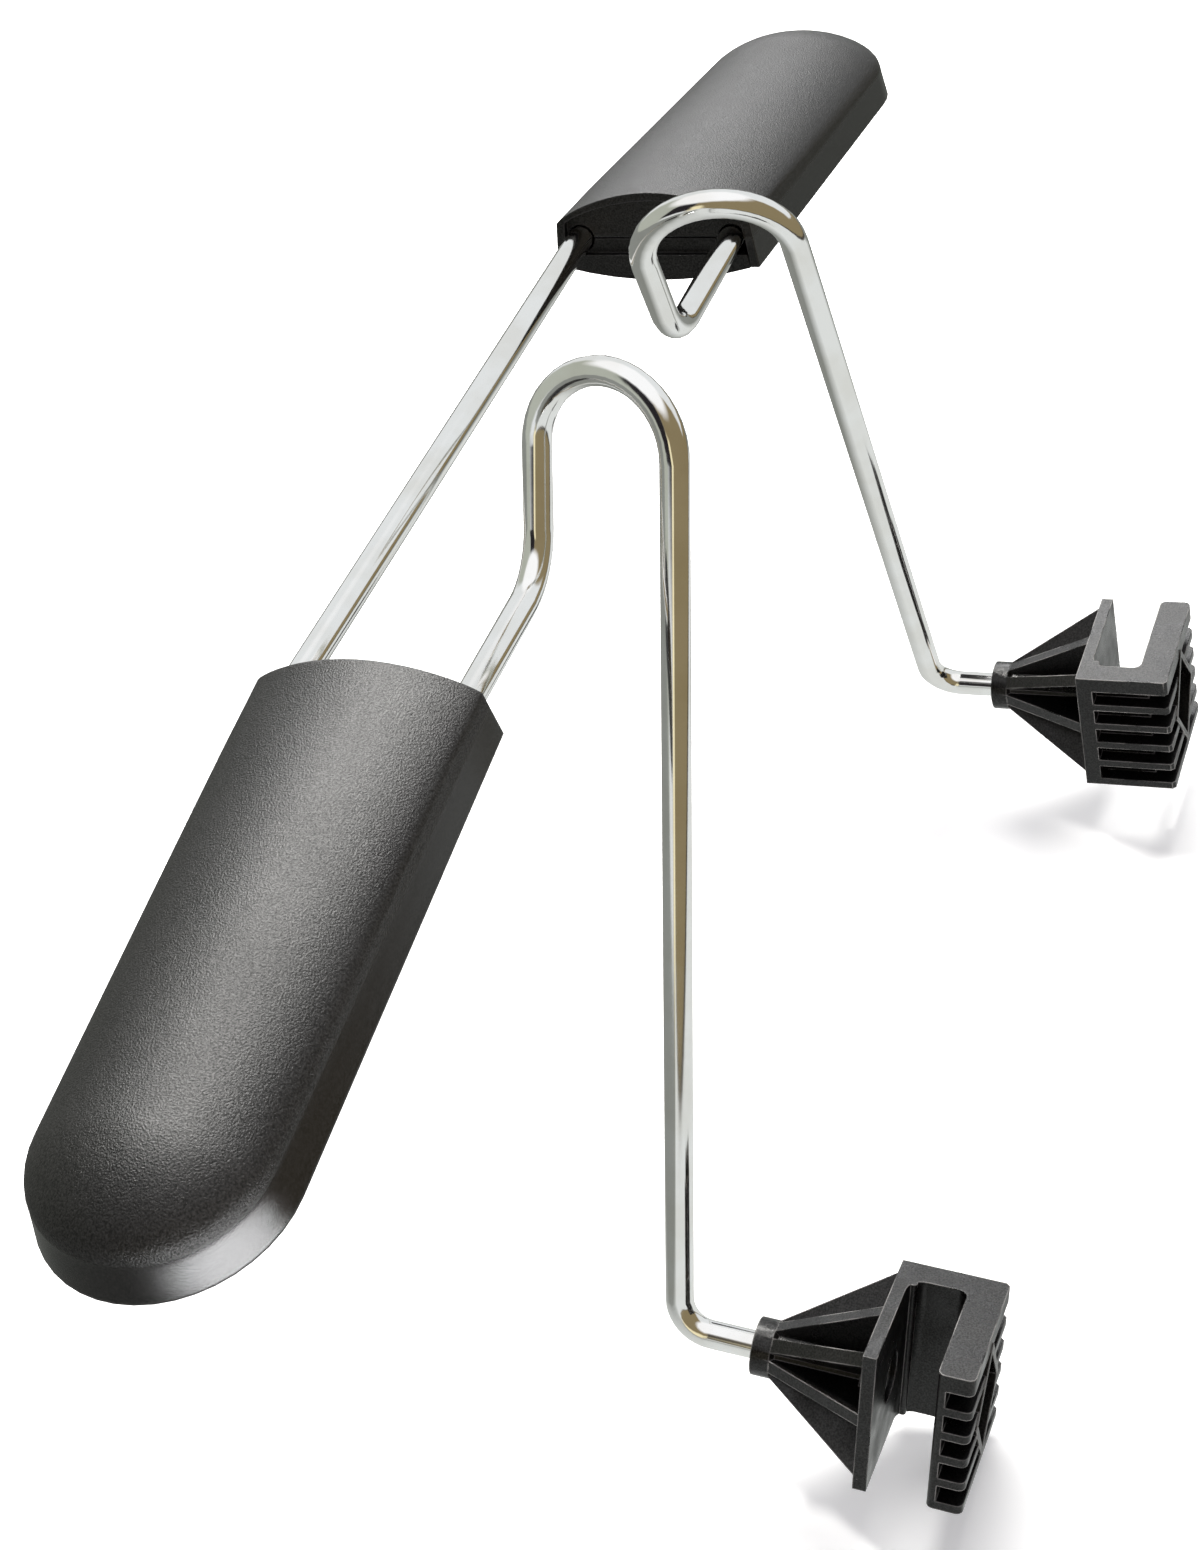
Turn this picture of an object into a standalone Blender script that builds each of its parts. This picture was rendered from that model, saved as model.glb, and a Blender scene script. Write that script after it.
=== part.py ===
"""A car headrest hanger at rest, in metres with +Z up.

The origin lies midway between the two headrest posts, at the height of the clips' wire ends. +X runs along the
shoulders to the near one, and +Y runs from the shoulders towards the headrest.
"""

from math import acos, asin, atan2, ceil, cos, hypot, pi, radians, sin, sqrt, tan

import bmesh
import bpy
from mathutils import Vector

for old in list(bpy.data.objects):
    bpy.data.objects.remove(old, do_unlink=True)

# General sizes
GAP = 0.0003  # between two pieces that touch
OVERRUN = 0.002  # how far a cut runs past the face it opens
SIDES = {"near": 1, "far": -1}

# Wire
WIRE_DIAMETER = 0.006
ROD_SPACING = 0.0374  # between the axes of the two rods
ELBOW_OFFSET = 0.0434  # from the middle of the hanger to where a short leg leaves its rod
ELBOW_BEND = 0.0145
LEG_SPLAY = radians(21.8)  # how far the legs lean towards the middle on their way up
LEG_LEAN = radians(2.7)  # how far they lean towards the headrest
ARCH_TWIST = radians(13.6)  # how far each arch is turned outward about the vertical
ARCH_RADIUS = 0.016
SHORT_LEG = 0.0263
LONG_LEG = 0.1848
FOOT_BEND = 0.0075
FOOT_TO_CLIP = 0.0169
NEAR_FOOT_PITCH = radians(-8.1)  # the near wire end dips, as it is bent in the photograph
FAR_FOOT_PITCH = 0
ENTRY_BEND = 0.012  # where a rod enters its shoulder and starts to droop
TURN_RADIUS = 0.015  # of the turn inside a shoulder
TURN_CENTRE = 0.072  # from the shoulder's inner end
WIRE_SIDES = 16
ARC_STEP = radians(9)
HIDDEN_ARC_STEP = radians(15)

# Shoulders
SHOULDER_OFFSET = 0.0853  # from the middle of the hanger to a shoulder's inner end
SHOULDER_LENGTH = 0.1305
SHOULDER_DROOP = radians(7.7)
RIM_HALF_WIDTH = 0.025
RIM_DEPTH = 0.0066  # below the rods' plane
CROWN_HEIGHT = 0.0116  # above the rods' plane
INNER_CROWN_HALF_WIDTH = 0.0237
TIP_CROWN_HALF_WIDTH = 0.0213
INNER_CROWN_FOOT = 0.0042  # height of the crown's foot above the rods' plane
TIP_CROWN_FOOT = 0.0018
CROWN_POWER = 1.9  # of the width, in the crown's curve
INNER_CROWN_FALL = 1.2  # 1 leaves the crown sloping at its foot, and 2 makes it upright there
TIP_CROWN_FALL = 1.9
INNER_SKIRT_FLARE = 1  # 1 is a straight skirt, and more curves it outward at the rim
TIP_SKIRT_FLARE = 1.6
SECTION_CHANGE_POWER = 0.45  # under 1, the section takes its form at the tip soon after the inner end
COVER_WALL = 0.002
BULKHEAD_RECESS = 0.0016
BULKHEAD_THICKNESS = 0.0022
BASE_KEEL_DEPTH = 0.0098  # at the middle, below the rods' plane
BASE_EDGE_DEPTH = 0.0068
BASE_WALL = 0.002
BODY_STEPS = 6
TIP_STEPS = 22
CROWN_STEPS = 11
SKIRT_STEPS = 5
HIDDEN_TIP_STEPS = 14
HIDDEN_CROWN_STEPS = 7
HIDDEN_SKIRT_STEPS = 3
KEEL_STEPS = 4

# Saddles that hold the wire, and the screws between them, counted from a shoulder's inner end
SADDLE_STATIONS = (0.038, 0.07)
SADDLE_THICKNESS = 0.0025
SCREW_STATIONS = (0.02, 0.054, 0.1)
COVER_BOSS_RADIUS = 0.0036
BASE_BOSS_RADIUS = 0.005
SCREW_RADIUS = 0.0016
SCREW_LENGTH = 0.0145
SCREW_HEAD_RADIUS = 0.0031
SCREW_HEAD_HEIGHT = 0.0019
SCREW_RECESS_WIDTH = 0.0009
SCREW_RECESS_SPAN = 0.0036
SCREW_RECESS_DEPTH = 0.0011
SCREW_CROWN_SHARE = 0.7  # of the head's radius, that its flat top keeps
SCREW_EDGE_SHARE = 1 / 3  # of the head's height, that its rounded edge takes
SCREW_POINT_SHARE = 1 / 3  # of the shank's radius, at its point
SCREW_SIDES = 16
HOLE_SIDES = 24

# Clips, counted from the collar's face along the wire end
NEAR_CLIP_TURN = radians(-14.5)  # as the near clip stands in the photograph: its top leans inward
FAR_CLIP_TURN = 0
COLLAR_RADIUS = 0.00615
COLLAR_LENGTH = 0.004
HUB_RADIUS = 0.0052
RIB_THICKNESS = 0.003
RIB_FOOT_SHARE = 0.97  # of the collar's radius, that a rib reaches inside the collar
RIB_START_SHARE = 0.75  # of the collar's length, where a rib starts
RIB_END_SHARE = 1 / 3  # of the plate's thickness, that a rib sinks into it
RIB_CORNER_SHARE = 0.6  # of a rib's thickness, that it stays inside the plate's corner
PLATE_START = 0.0257
PLATE_THICKNESS = 0.0029
SLOT_WIDTH = 0.0123  # takes the usual headrest posts of 10 to 12 mm
ARM_THICKNESS = 0.0076
CLIP_HALF_HEIGHT = 0.017
CLIP_CLOSED_HALF = 0.0169  # from the wire's axis to the closed end
CLIP_OPEN_HALF = 0.0164  # from the wire's axis to the open end
CLOSED_WALL = 0.0057
PLATE_CORNER = 0.0038  # inside the slot, where the closed end leaves the plate
BEAD_RADIUS = 0.0008  # of the bead down the middle of that corner
ARM_CORNER = 0.002
CORNER_CHAMFER = 0.0008
NOSE_RADIUS = 0.0015
CORE_WALL = 0.002
TOP_PLATE = 0.004
FIN_THICKNESS = 0.002
POCKETS = 5
DIAMOND_HALF_WIDTH = 0.0102
DIAMOND_HALF_HEIGHT = 0.0146
DIAMOND_WALL = 0.0012

# Retaining washers
WASHER_RADIUS = 0.0051
WASHER_THICKNESS = 0.001
WASHER_SEAT_DEPTH = 0.0034  # of the counterbore, below the slot's face
WASHER_SEAT_WALL = 0.0018
WASHER_TEETH = 6
WASHER_TOOTH_SPAN = 0.0011
WASHER_TOOTH_SHARE = 0.5  # of the way to the next tooth, that a tooth takes
WASHER_NOTCH_START_SHARE = 0.6
WASHER_NOTCH_END_SHARE = 0.9
WIRE_END_INSET = 0.0008  # from the slot's face to the wire's end

WIRE_RADIUS = WIRE_DIAMETER / 2
ROD_HALF_SPACING = ROD_SPACING / 2
TIP_CENTRE = SHOULDER_LENGTH - RIM_HALF_WIDTH
PARTING = GAP / 2  # half of the gap between the two shells of a shoulder
BASE_TOP = WIRE_RADIUS + 2 * GAP  # depth of the base's side walls, just clear of the wire
SLOT_START = PLATE_START + PLATE_THICKNESS
SLOT_END = SLOT_START + SLOT_WIDTH
CLIP_END = SLOT_END + ARM_THICKNESS
CLOSED_FACE = CLOSED_WALL - CLIP_CLOSED_HALF
STUB_LENGTH = FOOT_TO_CLIP + SLOT_START - WIRE_END_INSET


def mix(first, second, share):
    return first + (second - first) * share


def leg_layout():
    """The upward direction of the legs, and the sideways one from a short leg to its long leg."""
    up = Vector((-sin(LEG_SPLAY), sin(LEG_LEAN), 0))
    up.z = sqrt(1 - up.length_squared)
    across = Vector((sin(ARCH_TWIST), cos(ARCH_TWIST), 0))
    across = (across - up * across.dot(up)).normalized()
    return up, across


def leg_corners():
    """Corners of one leg pair, seen from the middle of the rods: elbow, two of the arch, and foot."""
    up, across = leg_layout()
    elbow = Vector((ELBOW_OFFSET, ROD_HALF_SPACING, 0))
    first = elbow + up * (SHORT_LEG + ARCH_RADIUS)
    second = first + across * 2 * ARCH_RADIUS
    foot = second - up * (LONG_LEG + ARCH_RADIUS)
    return [elbow, first, second, foot]


FOOT = leg_corners()[-1]
COLLAR_FACE = FOOT + Vector((0, FOOT_TO_CLIP, 0))
ROD_Y = -(COLLAR_FACE.y + (SLOT_START + SLOT_END) / 2)
ROD_Z = -COLLAR_FACE.z
RODS = Vector((0, ROD_Y, ROD_Z))


def on_shoulder(side):
    """Places (distance from the inner end, sideways, height above the rods' plane) on a drooping shoulder."""

    def place(out, across, high):
        along = SHOULDER_OFFSET + out * cos(SHOULDER_DROOP) + high * sin(SHOULDER_DROOP)
        return Vector((side * along, across, high * cos(SHOULDER_DROOP) - out * sin(SHOULDER_DROOP))) + RODS

    return place


def foot_direction(pitch):
    return Vector((0, cos(pitch), sin(pitch)))


def on_clip(side, turn, pitch):
    """Places (outward, distance from the collar's face, upward) on a clip turned about its wire end."""
    forward = foot_direction(pitch)
    upright = Vector((side, 0, 0)).cross(forward) * side
    outward = Vector((side * cos(turn), 0, 0)) - upright * sin(turn)
    upward = Vector((side * sin(turn), 0, 0)) + upright * cos(turn)
    foot = Vector((side * FOOT.x, FOOT.y, FOOT.z)) + RODS
    centre = foot + forward * FOOT_TO_CLIP

    def place(out, along, high):
        return centre + outward * out + forward * along + upward * high

    return place


def across_first(place):
    """Takes (across, high, out) on a shoulder, for sections that run along it."""

    def turned(across, high, out):
        return place(out, across, high)

    return turned


def at_station(place, station):
    """Takes (out, across, high) counted from a station of a shoulder."""

    def moved(out, across, high):
        return place(station + out, across, high)

    return moved


def facing(place):
    """Takes (outward, upward, along) on a clip, for shapes seen along its wire end."""

    def turned(out, high, along):
        return place(out, along, high)

    return turned


def new_object(name, bm, origin=None):
    origin = origin or Vector((0, 0, 0))
    bmesh.ops.translate(bm, verts=bm.verts, vec=-origin)
    bmesh.ops.recalc_face_normals(bm, faces=bm.faces)
    mesh = bpy.data.meshes.new(name)
    bm.to_mesh(mesh)
    bm.free()
    obj = bpy.data.objects.new(name, mesh)
    obj.location = origin
    bpy.context.scene.collection.objects.link(obj)
    return obj


def new_piece(name, bm, colour, metallic, roughness, origin=None):
    """A visible piece with its own material, smooth where it is round."""
    obj = new_object(name, bm, origin)
    obj.data.shade_smooth()
    obj.data.set_sharp_from_angle(angle=radians(30))
    material = bpy.data.materials.new(name)
    material.use_nodes = True
    shader = material.node_tree.nodes["Principled BSDF"]
    shader.inputs["Base Color"].default_value = (*colour, 1)
    shader.inputs["Metallic"].default_value = metallic
    shader.inputs["Roughness"].default_value = roughness
    obj.data.materials.append(material)
    return obj


def combine(piece, operation, name, bm):
    """Joins a helper to the piece, or cuts it out of the piece."""
    tool = new_object(name, bm)
    tool.hide_render = True
    tool.display_type = "WIRE"
    modifier = piece.modifiers.new(name, "BOOLEAN")
    modifier.operation = operation
    modifier.solver = "EXACT"
    modifier.object = tool


def add_prism(bm, place, outline, low, high):
    """A prism over (first, second) points, running from low to high in the third direction."""
    rings = [[bm.verts.new(place(a, b, level)) for a, b in outline] for level in (low, high)]
    bm.faces.new(rings[0][::-1])
    bm.faces.new(rings[1])
    for i, start in enumerate(rings[0]):
        after = (i + 1) % len(outline)
        bm.faces.new((start, rings[0][after], rings[1][after], rings[1][i]))


def add_box(bm, place, lows, highs):
    outline = [(lows[0], lows[1]), (highs[0], lows[1]), (highs[0], highs[1]), (lows[0], highs[1])]
    add_prism(bm, place, outline, lows[2], highs[2])


def circle(radius, sides, centre=0):
    angles = [2 * pi * i / sides for i in range(sides)]
    return [(centre + radius * cos(angle), radius * sin(angle)) for angle in angles]


def add_lathe(bm, place, profile, sides):
    """A body of revolution: profile lists (radius, height) from one end of the axis to the other."""
    rings = []
    for radius, height in profile:
        if radius:
            rings.append([bm.verts.new(place(a, b, height)) for a, b in circle(radius, sides)])
        else:
            rings.append([bm.verts.new(place(0, 0, height))] * sides)
    for lower, upper in zip(rings, rings[1:]):
        for i in range(sides):
            after = (i + 1) % sides
            corners = [lower[i], lower[after], upper[after], upper[i]]
            bm.faces.new(list(dict.fromkeys(corners)))
    for ring in (rings[0], rings[-1]):
        if len(set(ring)) == sides:
            bm.faces.new(ring)


def rounded_path(corners, radii, steps):
    """The corners as a path, with an arc of the given radius at each inner one."""
    path = [corners[0]]
    for before, corner, after, radius, step in zip(corners, corners[1:], corners[2:], radii, steps):
        back = (before - corner).normalized()
        ahead = (after - corner).normalized()
        turn = pi - acos(max(-1, min(1, back.dot(ahead))))
        start = corner + back * radius * tan(turn / 2)
        inward = (ahead - back * back.dot(ahead)).normalized()
        centre = start + inward * radius
        count = ceil(turn / step)
        for i in range(count + 1):
            angle = turn * i / count
            point = centre - inward * radius * cos(angle) - back * radius * sin(angle)
            if (point - path[-1]).length > GAP / 10:
                path.append(point)
    path.append(corners[-1])
    return path


def add_tube(bm, path, radius, sides):
    """A round bar along the path, with a frame that doesn't twist."""
    directions = [(b - a).normalized() for a, b in zip(path, path[1:])]
    tangents = [directions[0]]
    tangents += [(a + b).normalized() for a, b in zip(directions, directions[1:])]
    tangents.append(directions[-1])
    normal = tangents[0].orthogonal().normalized()
    rings = []
    for point, tangent in zip(path, tangents):
        normal = (normal - tangent * normal.dot(tangent)).normalized()
        other = tangent.cross(normal)
        ring = [point + normal * a + other * b for a, b in circle(radius, sides)]
        rings.append([bm.verts.new(corner) for corner in ring])
    for first, second in zip(rings, rings[1:]):
        for i in range(sides):
            after = (i + 1) % sides
            bm.faces.new((first[i], first[after], second[after], second[i]))
    bm.faces.new(rings[0][::-1])
    bm.faces.new(rings[-1])


def turn_inset(out):
    """How far the hidden wire lies from a shoulder's middle line at this distance from the inner end."""
    reach = hypot(ROD_HALF_SPACING, TURN_CENTRE)
    toe_in = acos(TURN_RADIUS / reach) - atan2(TURN_CENTRE, ROD_HALF_SPACING)
    return ROD_HALF_SPACING - out * tan(toe_in)


def half_wire(pitch):
    """The wire from the middle of the outer rod to a clip on the near side: corners, bend radii and arc steps."""
    place = on_shoulder(1)
    turn_end = TURN_CENTRE + TURN_RADIUS
    elbow, first, second, foot = [corner + RODS for corner in leg_corners()]
    corners = [
        RODS + Vector((0, -ROD_HALF_SPACING, 0)),
        RODS + Vector((SHOULDER_OFFSET, -ROD_HALF_SPACING, 0)),
        place(turn_end, -turn_inset(turn_end), 0),
        place(turn_end, turn_inset(turn_end), 0),
        RODS + Vector((SHOULDER_OFFSET, ROD_HALF_SPACING, 0)),
        elbow,
        first,
        second,
        foot,
        foot + foot_direction(pitch) * STUB_LENGTH,
    ]
    radii = [ENTRY_BEND, TURN_RADIUS, TURN_RADIUS, ENTRY_BEND, ELBOW_BEND, ARCH_RADIUS, ARCH_RADIUS, FOOT_BEND]
    steps = [HIDDEN_ARC_STEP] * 4 + [ARC_STEP] * 4
    return corners, radii, steps


def mirrored(points):
    return [Vector((-point.x, point.y, point.z)) for point in points]


def add_wire_frame():
    near = rounded_path(*half_wire(NEAR_FOOT_PITCH))
    far = mirrored(rounded_path(*half_wire(FAR_FOOT_PITCH)))
    bm = bmesh.new()
    add_tube(bm, far[:0:-1] + near, WIRE_RADIUS, WIRE_SIDES)
    new_piece("wire_frame", bm, (0.8, 0.8, 0.8), 1, 0.08)


def wire_channel(side):
    """The room that the wire needs inside a shoulder."""
    corners, radii, steps = half_wire(0)
    inside = corners[1:5]
    entry = Vector((SHOULDER_OFFSET / 2, 0, 0))
    inside = [inside[0] - entry, *inside, inside[-1] - entry]
    path = rounded_path(inside, radii[:4], steps[:4])
    bm = bmesh.new()
    add_tube(bm, path if side > 0 else mirrored(path), WIRE_RADIUS + GAP, WIRE_SIDES)
    return bm


def shoulder_solid(side, start, profile, tip_steps):
    """A closed solid over a shoulder's plan, from start to the rounded tip.

    The profile takes the share of the way to the tip and lists (half width, height) from the ridge to the edge.
    """
    place = on_shoulder(side)
    stations = [mix(start, TIP_CENTRE, i / BODY_STEPS) for i in range(BODY_STEPS + 1)]
    columns = []
    for out in stations:
        columns.append([(out, -half, high) for half, high in profile(max(out, 0) / TIP_CENTRE)])
    for i in range(1, tip_steps):
        angle = pi * (i / tip_steps - 1 / 2)
        around = [(TIP_CENTRE + half * cos(angle), half * sin(angle), high) for half, high in profile(1)]
        columns.append(around)
    for out in reversed(stations):
        columns.append([(out, half, high) for half, high in profile(max(out, 0) / TIP_CENTRE)])
    bm = bmesh.new()
    grid = [[bm.verts.new(place(*point)) for point in column] for column in columns]
    for first, second in zip(grid, grid[1:]):
        for i in range(len(first) - 1):
            bm.faces.new((first[i], first[i + 1], second[i + 1], second[i]))
    bm.faces.new([column[-1] for column in grid])
    bm.faces.new(grid[0][::-1] + grid[-1][1:])
    bmesh.ops.remove_doubles(bm, verts=bm.verts, dist=GAP / 100)
    return bm


def crown_points(share, inset, steps):
    """The rounded top of a shoulder's section, from its ridge to its foot."""
    half = mix(INNER_CROWN_HALF_WIDTH, TIP_CROWN_HALF_WIDTH, share) - inset
    foot = mix(INNER_CROWN_FOOT, TIP_CROWN_FOOT, share)
    fall = mix(INNER_CROWN_FALL, TIP_CROWN_FALL, share**SECTION_CHANGE_POWER)
    rise = CROWN_HEIGHT - inset - foot
    points = []
    for i in range(steps):
        way = sin(pi / 2 * i / steps)
        points.append((half * way, foot + rise * (1 - way**CROWN_POWER) ** (1 / fall)))
    return points + [(half, foot)]


def skirt_half(share, inset, depth):
    """Half the width of the flared skirt at a depth below the rods' plane."""
    half = mix(INNER_CROWN_HALF_WIDTH, TIP_CROWN_HALF_WIDTH, share)
    foot = mix(INNER_CROWN_FOOT, TIP_CROWN_FOOT, share)
    flare = mix(INNER_SKIRT_FLARE, TIP_SKIRT_FLARE, share**SECTION_CHANGE_POWER)
    way = min((depth + foot) / (RIM_DEPTH + foot), 1)
    return mix(half, RIM_HALF_WIDTH, way**flare) - inset


def skirt_points(share, inset, top, bottom, steps):
    """The skirt between two depths, without the upper end."""
    depths = [mix(top, bottom, i / steps) for i in range(1, steps + 1)]
    return [(skirt_half(share, inset, depth), -depth) for depth in depths]


def cover_profile(inset, overrun, crown_steps, skirt_steps):
    def profile(share):
        foot = mix(INNER_CROWN_FOOT, TIP_CROWN_FOOT, share)
        points = crown_points(share, inset, crown_steps) + skirt_points(share, inset, -foot, RIM_DEPTH, skirt_steps)
        return points + [(RIM_HALF_WIDTH - inset, -RIM_DEPTH - overrun)] * (overrun > 0)

    return profile


def base_profile(inset, floor, top):
    """The base's convex underside and its side walls, inset from its outer faces."""
    side_inset = COVER_WALL + GAP + inset

    def profile(share):
        edge = skirt_half(share, side_inset, BASE_EDGE_DEPTH)
        points = []
        for i in range(KEEL_STEPS + 1):
            way = i / KEEL_STEPS
            points.append((edge * way, mix(-BASE_KEEL_DEPTH, -BASE_EDGE_DEPTH, way**2) + floor))
        middle = (BASE_TOP + BASE_EDGE_DEPTH) / 2
        points.append((skirt_half(share, side_inset, middle), -middle))
        return points + [(skirt_half(share, side_inset, BASE_TOP), top)]

    return profile


def add_cover_inside(bm, place):
    """Bosses for the screws, and ribs that press on the wire from above."""
    for station in SCREW_STATIONS:
        outline = circle(COVER_BOSS_RADIUS, HOLE_SIDES, station)
        add_prism(bm, place, outline, PARTING, CROWN_HEIGHT - COVER_WALL / 2)
    for station in SADDLE_STATIONS:
        crown = crown_points(station / TIP_CENTRE, COVER_WALL / 2, HIDDEN_CROWN_STEPS)
        half = crown[-1][0]
        outline = [(half, PARTING), (-half, PARTING)]
        outline += [(-a, b) for a, b in reversed(crown[1:])] + crown
        start = station - SADDLE_THICKNESS / 2
        add_prism(bm, across_first(place), outline, start, start + SADDLE_THICKNESS)


def add_cover(name, side):
    place = on_shoulder(side)
    colour = (0.025, 0.025, 0.028)
    outside = cover_profile(0, 0, CROWN_STEPS, SKIRT_STEPS)
    cover = new_piece(f"{name}_shoulder_cover", shoulder_solid(side, 0, outside, TIP_STEPS), colour, 0, 0.42)
    room_profile = cover_profile(COVER_WALL, OVERRUN, HIDDEN_CROWN_STEPS, HIDDEN_SKIRT_STEPS)
    hollow = shoulder_solid(side, BULKHEAD_RECESS + BULKHEAD_THICKNESS, room_profile, HIDDEN_TIP_STEPS)
    combine(cover, "DIFFERENCE", f"{name}_cover_hollow", hollow)
    section = across_first(place)
    crown = crown_points(0, COVER_WALL, HIDDEN_CROWN_STEPS)
    edge = RIM_HALF_WIDTH - COVER_WALL
    outline = [(-edge, -RIM_DEPTH - OVERRUN), (edge, -RIM_DEPTH - OVERRUN)]
    outline += list(reversed(crown)) + [(-a, b) for a, b in crown[1:]]
    mouth = bmesh.new()
    add_prism(mouth, section, outline, -OVERRUN, BULKHEAD_RECESS)
    combine(cover, "DIFFERENCE", f"{name}_cover_mouth", mouth)
    top = skirt_half(0, COVER_WALL - GAP / 3, -PARTING)
    bottom = RIM_HALF_WIDTH - COVER_WALL + GAP / 3
    outline = [(bottom, -RIM_DEPTH - OVERRUN), (top, PARTING), (-top, PARTING), (-bottom, -RIM_DEPTH - OVERRUN)]
    room = bmesh.new()
    add_prism(room, section, outline, -OVERRUN, BULKHEAD_RECESS + BULKHEAD_THICKNESS + OVERRUN)
    combine(cover, "DIFFERENCE", f"{name}_base_room", room)
    inside = bmesh.new()
    add_cover_inside(inside, place)
    combine(cover, "UNION", f"{name}_cover_ribs", inside)
    combine(cover, "DIFFERENCE", f"{name}_cover_channel", wire_channel(side))
    holes = bmesh.new()
    depth = SCREW_LENGTH - BASE_KEEL_DEPTH + SCREW_HEAD_HEIGHT + 3 * GAP
    for station in SCREW_STATIONS:
        add_prism(holes, place, circle(SCREW_RADIUS + GAP, HOLE_SIDES, station), -OVERRUN, depth)
    combine(cover, "DIFFERENCE", f"{name}_cover_holes", holes)


def add_base(name, side):
    place = on_shoulder(side)
    solid = shoulder_solid(side, 0, base_profile(0, 0, -BASE_TOP), HIDDEN_TIP_STEPS)
    base = new_piece(f"{name}_shoulder_base", solid, (0.022, 0.022, 0.024), 0, 0.45)
    tray = base_profile(BASE_WALL, BASE_WALL, -BASE_TOP + OVERRUN)
    combine(base, "DIFFERENCE", f"{name}_base_tray", shoulder_solid(side, BASE_WALL, tray, HIDDEN_TIP_STEPS))
    inside = bmesh.new()
    floor = -BASE_EDGE_DEPTH - BASE_WALL / 4
    wide = skirt_half(0, COVER_WALL + GAP + BASE_WALL / 2, BASE_EDGE_DEPTH)
    add_box(
        inside,
        place,
        (BULKHEAD_RECESS, -ROD_HALF_SPACING, floor),
        (BULKHEAD_RECESS + BULKHEAD_THICKNESS, ROD_HALF_SPACING, -PARTING),
    )
    for station in SADDLE_STATIONS:
        reach = min(turn_inset(station) + WIRE_RADIUS + BASE_WALL / 2, wide)
        add_box(
            inside,
            place,
            (station - SADDLE_THICKNESS / 2, -reach, floor),
            (station + SADDLE_THICKNESS / 2, reach, -PARTING),
        )
    for station in SCREW_STATIONS:
        outline = circle(BASE_BOSS_RADIUS, HOLE_SIDES, station)
        add_prism(inside, place, outline, -BASE_KEEL_DEPTH + BASE_WALL / 2, -PARTING)
    combine(base, "UNION", f"{name}_base_ribs", inside)
    combine(base, "DIFFERENCE", f"{name}_base_channel", wire_channel(side))
    holes = bmesh.new()
    seat = -BASE_KEEL_DEPTH + SCREW_HEAD_HEIGHT + 2 * GAP
    for station in SCREW_STATIONS:
        wide_hole = SCREW_HEAD_RADIUS + GAP
        narrow = SCREW_RADIUS + GAP
        profile = [(wide_hole, -BASE_KEEL_DEPTH - OVERRUN), (wide_hole, seat), (narrow, seat), (narrow, OVERRUN)]
        add_lathe(holes, at_station(place, station), profile, HOLE_SIDES)
    combine(base, "DIFFERENCE", f"{name}_base_holes", holes)


def add_screws(name, side):
    place = on_shoulder(side)
    bottom = -BASE_KEEL_DEPTH + GAP
    bearing = bottom + SCREW_HEAD_HEIGHT
    for number, station in enumerate(SCREW_STATIONS, 1):
        spot = at_station(place, station)
        profile = [
            (SCREW_HEAD_RADIUS * SCREW_CROWN_SHARE, bottom),
            (SCREW_HEAD_RADIUS, bottom + SCREW_HEAD_HEIGHT * SCREW_EDGE_SHARE),
            (SCREW_HEAD_RADIUS, bearing),
            (SCREW_RADIUS, bearing),
            (SCREW_RADIUS, bearing + SCREW_LENGTH - SCREW_RADIUS),
            (SCREW_RADIUS * SCREW_POINT_SHARE, bearing + SCREW_LENGTH),
        ]
        bm = bmesh.new()
        add_lathe(bm, spot, profile, SCREW_SIDES)
        screw = new_piece(f"{name}_screw_{number}", bm, (0.6, 0.6, 0.62), 1, 0.3)
        span = SCREW_RECESS_SPAN / 2
        width = SCREW_RECESS_WIDTH / 2
        cross = [(span, -width), (span, width), (width, width), (width, span), (-width, span), (-width, width)]
        cross += [(-a, -b) for a, b in cross]
        recess = bmesh.new()
        add_prism(recess, spot, cross, bottom - OVERRUN, bottom + SCREW_RECESS_DEPTH)
        combine(screw, "DIFFERENCE", f"{name}_screw_{number}_recess", recess)


def arc(centre, radius, start, end, steps):
    angles = [mix(start, end, i / steps) for i in range(steps + 1)]
    return [(centre[0] + radius * cos(angle), centre[1] + radius * sin(angle)) for angle in angles]


def plate_corner():
    """The rounded corner between the plate and the closed end, with the bead down its middle."""
    centre = (CLOSED_FACE + PLATE_CORNER, SLOT_START + PLATE_CORNER)
    middle = -3 * pi / 4
    half_bead = 2 * asin(BEAD_RADIUS / PLATE_CORNER / 2)
    bead_centre = (centre[0] + PLATE_CORNER * cos(middle), centre[1] + PLATE_CORNER * sin(middle))
    bead = arc(bead_centre, BEAD_RADIUS, middle + pi / 2, middle + 3 * pi / 2, 6)[1:-1]
    before = arc(centre, PLATE_CORNER, -pi / 2, middle + half_bead, 3)
    return before + bead + arc(centre, PLATE_CORNER, middle - half_bead, -pi, 3)


def hook_outline():
    """The plate, closed end and arm of a clip, seen from above as (outward, along)."""
    inner = CLOSED_FACE + ARM_CORNER
    nose = CLIP_OPEN_HALF - NOSE_RADIUS
    outline = [(CLIP_OPEN_HALF, PLATE_START), (CLIP_OPEN_HALF, SLOT_START)] + plate_corner()
    outline += arc((inner, SLOT_END - ARM_CORNER), ARM_CORNER, pi, pi / 2, 5)
    outline += arc((nose, SLOT_END + NOSE_RADIUS), NOSE_RADIUS, -pi / 2, 0, 4)
    outline += arc((nose, CLIP_END - NOSE_RADIUS), NOSE_RADIUS, 0, pi / 2, 4)
    outline += [(CORNER_CHAMFER - CLIP_CLOSED_HALF, CLIP_END), (-CLIP_CLOSED_HALF, CLIP_END - CORNER_CHAMFER)]
    return outline + [(-CLIP_CLOSED_HALF, PLATE_START)]


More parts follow.
